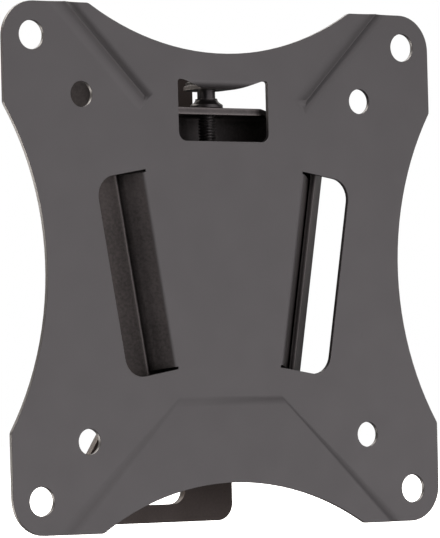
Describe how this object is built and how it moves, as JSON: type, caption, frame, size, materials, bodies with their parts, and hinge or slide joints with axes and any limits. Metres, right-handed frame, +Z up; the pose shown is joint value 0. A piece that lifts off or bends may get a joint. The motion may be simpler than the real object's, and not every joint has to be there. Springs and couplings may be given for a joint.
{
  "type": "tilting tv wall bracket",
  "caption": "Tilting wall bracket for a small flat screen: a waisted square screen plate hooks into a V-shaped channel that tilts on an eared wall plate.",
  "frame": {"origin": "on the wall, behind the middle of the screen plate's hole pattern, level with the tilt axis", "axes": "+Y into the wall, -Y towards the screen, +X along the tilt axis to the right as seen from the room, +Z up"},
  "size_m": [0.1146, 0.0332, 0.1146],
  "materials": {
    "satin_black_coat": "satin black powder coat",
    "black_zinc": "black zinc plating",
    "bright_zinc": "bright zinc plating",
    "spring_steel": "phosphated spring steel",
    "nylon": "natural nylon"
  },
  "bodies": {
    "wall_side": {"wall_plate": "satin_black_coat", "pivot_bolt_left": "bright_zinc", "pivot_bolt_right": "bright_zinc", "pivot_washer_left": "bright_zinc", "pivot_washer_right": "bright_zinc", "friction_washer_left": "nylon", "friction_washer_right": "nylon", "inner_washer_left": "bright_zinc", "inner_washer_right": "bright_zinc", "disc_spring_left": "spring_steel", "disc_spring_right": "spring_steel", "pivot_nut_left": "bright_zinc", "pivot_nut_right": "bright_zinc", "nut_insert_left": "nylon", "nut_insert_right": "nylon"},
    "tilt_head": {"vesa_plate": "satin_black_coat", "tilt_channel": "satin_black_coat", "security_bolt": "black_zinc", "security_washer": "black_zinc", "security_nut": "black_zinc"}
  },
  "joints": [
    {"name": "tilt", "type": "hinge", "parent": "wall_side", "child": "tilt_head", "pos_m": [0, -0.011, 0], "axis": [1, 0, 0], "range_deg": [-15, 15]}
  ]
}
